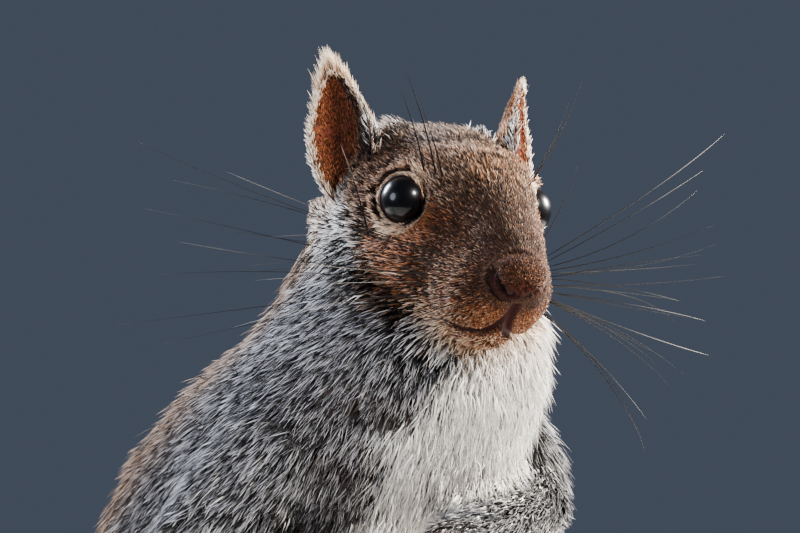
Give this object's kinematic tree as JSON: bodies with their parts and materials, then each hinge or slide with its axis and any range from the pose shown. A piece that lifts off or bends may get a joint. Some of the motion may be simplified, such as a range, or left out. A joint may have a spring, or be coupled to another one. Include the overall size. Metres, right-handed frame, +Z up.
{
  "type": "grey squirrel",
  "caption": "Eastern grey squirrel in its winter coat, sitting up on its haunches with its hands held at its white chest, head turned and the bushy tail laid out behind.",
  "frame": {"origin": "on the floor, at the flat under the rump where the animal sits", "axes": "+Z up, -Y the way the body faces, +X the animal's left, +Y along the tail"},
  "size_m": [0.1128, 0.3679, 0.2068],
  "materials": {
    "fur_grey": "grizzled grey-brown winter coat, dark bases and pale tips",
    "fur_white": "soft white fur of the throat and chest",
    "fur_tail": "long grey, black and white banded hair",
    "ear_skin": "thin skin with short orange-brown down and pale fringe",
    "nose_leather": "bare moist reddish-brown skin",
    "eye": "wet, almost black",
    "claw": "dark horn"
  },
  "bodies": {
    "root": {"head": "fur_grey", "nose": "nose_leather", "neck": "fur_grey", "chest": "fur_white", "abdomen": "fur_grey", "tail_root": "fur_tail", "tail_middle": "fur_tail", "tail_tip": "fur_tail", "eye_right": "eye", "ear_right": "ear_skin", "upper_arm_right": "fur_grey", "forearm_right": "fur_grey", "hand_right": "fur_grey", "thigh_right": "fur_grey", "shank_right": "fur_grey", "foot_right": "fur_grey", "eye_left": "eye", "ear_left": "ear_skin", "upper_arm_left": "fur_grey", "forearm_left": "fur_grey", "hand_left": "fur_grey", "thigh_left": "fur_grey", "shank_left": "fur_grey", "foot_left": "fur_grey", "finger_claw_right_1": "claw", "finger_claw_right_2": "claw", "finger_claw_right_3": "claw", "finger_claw_right_4": "claw", "toe_claw_right_1": "claw", "toe_claw_right_2": "claw", "toe_claw_right_3": "claw", "toe_claw_right_4": "claw", "toe_claw_right_5": "claw", "finger_claw_left_1": "claw", "finger_claw_left_2": "claw", "finger_claw_left_3": "claw", "finger_claw_left_4": "claw", "toe_claw_left_1": "claw", "toe_claw_left_2": "claw", "toe_claw_left_3": "claw", "toe_claw_left_4": "claw", "toe_claw_left_5": "claw"}
  },
  "joints": []
}
